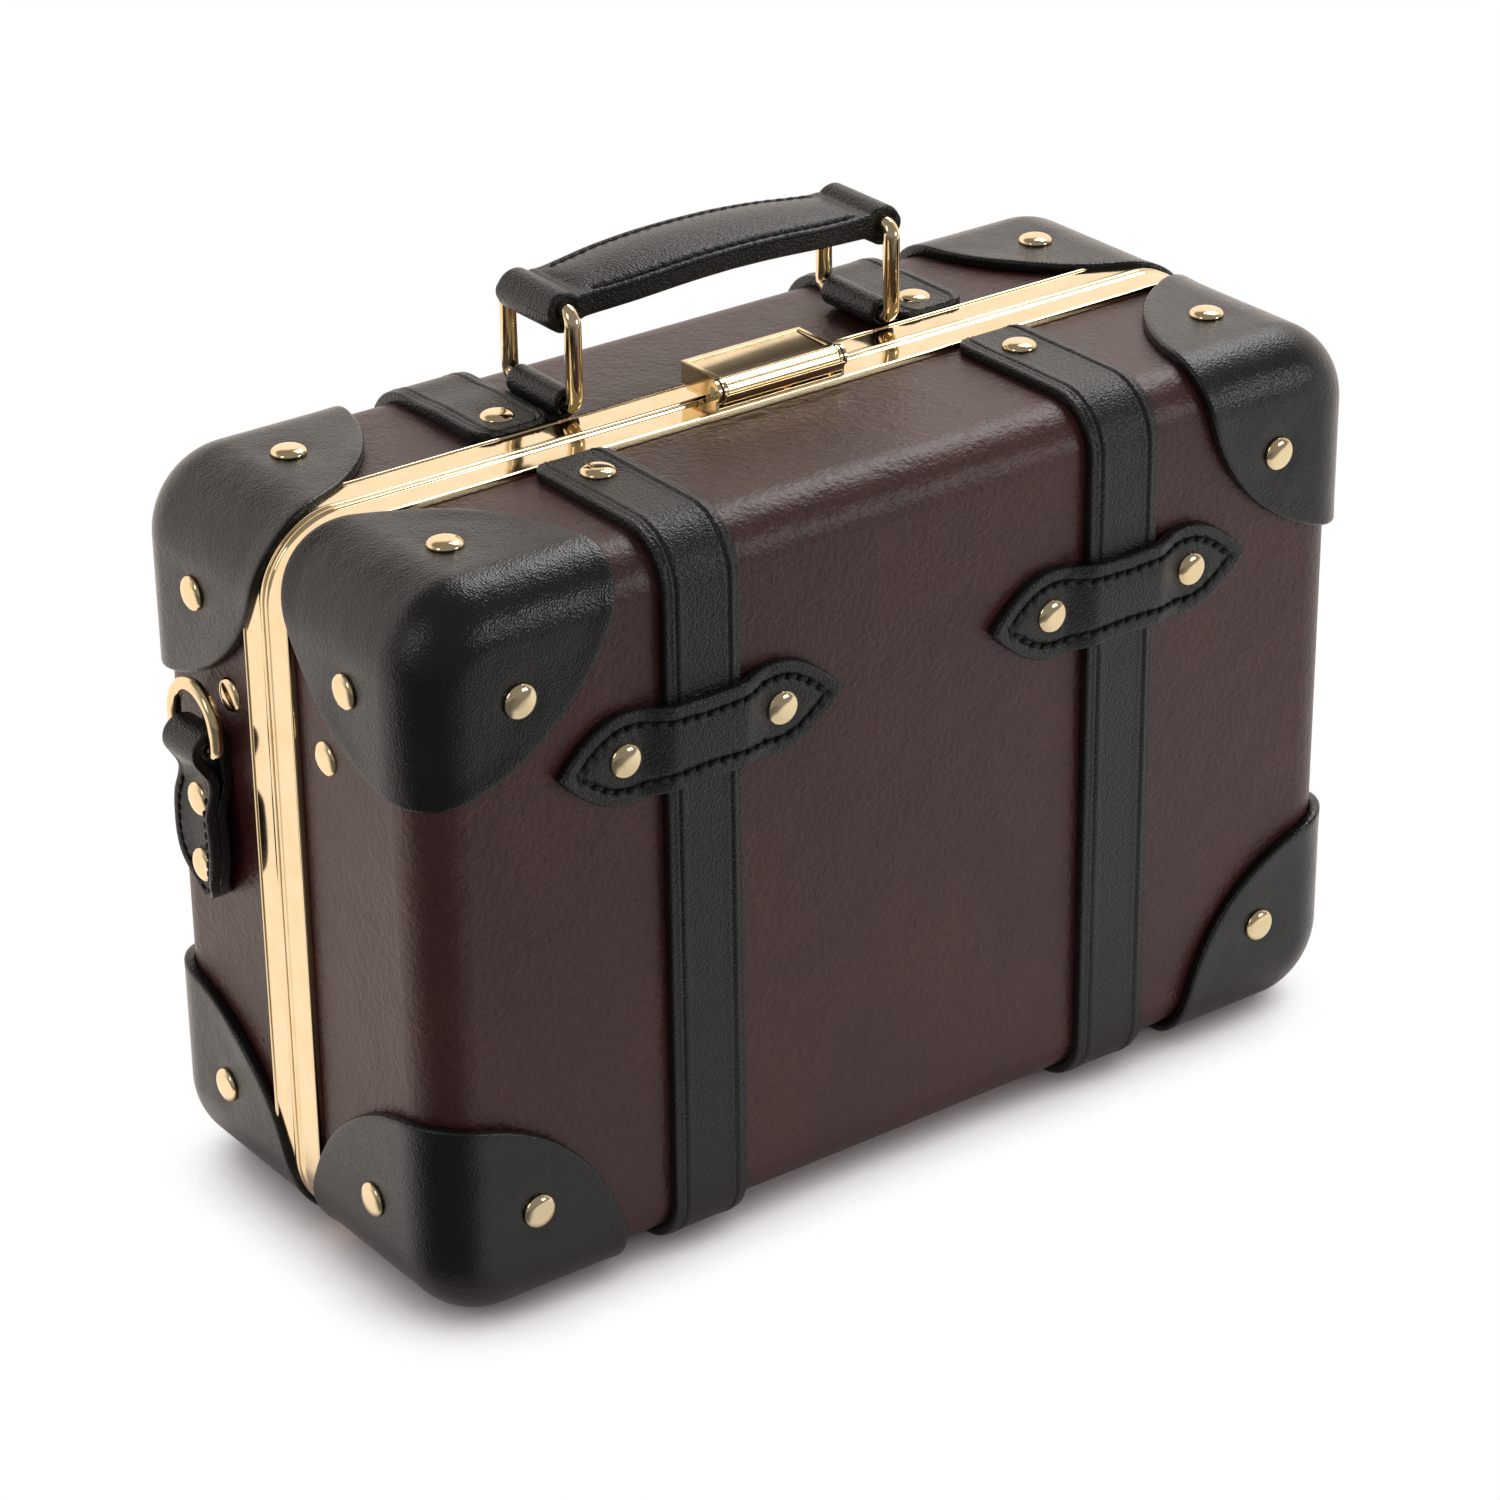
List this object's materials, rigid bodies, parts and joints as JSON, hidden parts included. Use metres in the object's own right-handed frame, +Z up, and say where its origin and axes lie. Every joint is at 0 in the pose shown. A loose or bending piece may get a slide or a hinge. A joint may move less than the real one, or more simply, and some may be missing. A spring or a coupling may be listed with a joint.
{
  "type": "suitcase",
  "caption": "Small hard case in two fibreboard trays with metal bands, leather corners and straps, a hinged front, a flap lock, a wire-loop handle and side rings.",
  "frame": {"origin": "middle of the part's box, on the floor that the four foot rivets stand on", "axes": "+X along the length to the right, +Y from the front face to the back, +Z up"},
  "size_m": [0.2108, 0.091, 0.1577],
  "materials": {
    "board": "satin lacquer, dark oxblood",
    "lining": "matt woven",
    "black_leather": "satin, fine grain",
    "gold_metal": "polished gold plate",
    "steel": "plain"
  },
  "bodies": {
    "rear_half": {"shell_rear": "board", "lining_rear": "lining", "frame_rear": "gold_metal", "corner_rear_top_left": "black_leather", "corner_rear_top_right": "black_leather", "corner_rear_bottom_left": "black_leather", "corner_rear_bottom_right": "black_leather", "strap_rear_left": "black_leather", "strap_rear_right": "black_leather", "keeper_rear_left": "black_leather", "keeper_rear_right": "black_leather", "hinge_leaf_rear_left": "gold_metal", "hinge_leaf_rear_right": "gold_metal", "corner_rivets_rear": "gold_metal", "foot_rivets_rear": "gold_metal", "strap_rivets_rear": "gold_metal", "keeper_rivets_rear": "gold_metal", "stay_rivets_rear": "gold_metal", "ring_tab_rivets": "gold_metal", "lock_catch": "gold_metal", "hinge_pin_left": "steel", "handle_tab_left": "black_leather", "ring_tab_left": "black_leather", "stay_left": "black_leather", "hinge_pin_right": "steel", "handle_tab_right": "black_leather", "ring_tab_right": "black_leather", "stay_right": "black_leather"},
    "front_half": {"shell_front": "board", "lining_front": "lining", "frame_front": "gold_metal", "corner_front_top_left": "black_leather", "corner_front_top_right": "black_leather", "corner_front_bottom_left": "black_leather", "corner_front_bottom_right": "black_leather", "strap_front_left": "black_leather", "strap_front_right": "black_leather", "keeper_front_left": "black_leather", "keeper_front_right": "black_leather", "hinge_leaf_front_left": "gold_metal", "hinge_leaf_front_right": "gold_metal", "corner_rivets_front": "gold_metal", "foot_rivets_front": "gold_metal", "strap_rivets_front": "gold_metal", "keeper_rivets_front": "gold_metal", "stay_rivets_front": "gold_metal", "lock_hinge_plate": "gold_metal", "lock_pin": "steel"},
    "lock_flap": {"lock_flap": "gold_metal", "lock_clip": "steel"},
    "loop_left": {"handle_loop_left": "gold_metal"},
    "loop_right": {"handle_loop_right": "gold_metal"},
    "grip": {"handle_grip": "black_leather", "grip_core": "black_leather"},
    "ring_left": {"d_ring_left": "gold_metal"},
    "ring_right": {"d_ring_right": "gold_metal"}
  },
  "joints": [
    {"name": "case_hinge", "type": "hinge", "parent": "rear_half", "child": "front_half", "pos_m": [0, 0.0015, 0.0015], "axis": [1, 0, 0], "range_deg": [0, 95], "deforming": ["stay_left", "stay_right"]},
    {"name": "lock_hinge", "type": "hinge", "parent": "front_half", "child": "lock_flap", "pos_m": [0, -0.00435, 0.13775], "axis": [1, 0, 0], "range_deg": [0, 100]},
    {"name": "handle_swing", "type": "hinge", "parent": "rear_half", "child": "loop_left", "pos_m": [-0.0337, 0.017, 0.1362], "axis": [0, 1, 0], "range_deg": [-70, 70]},
    {"name": "handle_swing_right", "type": "hinge", "parent": "rear_half", "child": "loop_right", "pos_m": [0.0337, 0.017, 0.1362], "axis": [0, 1, 0], "range_deg": [-70, 70]},
    {"name": "grip_turn", "type": "hinge", "parent": "loop_left", "child": "grip", "pos_m": [-0.0337, 0.017, 0.153], "axis": [0, 1, 0], "range_deg": [-70, 70]},
    {"name": "ring_left_swing", "type": "hinge", "parent": "rear_half", "child": "ring_left", "pos_m": [-0.1017, 0.0225, 0.0885], "axis": [0, -1, 0], "range_deg": [0, 145]},
    {"name": "ring_right_swing", "type": "hinge", "parent": "rear_half", "child": "ring_right", "pos_m": [0.1017, 0.0225, 0.0885], "axis": [0, 1, 0], "range_deg": [0, 145]}
  ],
  "couplings": [
    {"joint": "handle_swing_right", "follows": "handle_swing", "ratio": 1},
    {"joint": "grip_turn", "follows": "handle_swing", "ratio": -1}
  ]
}
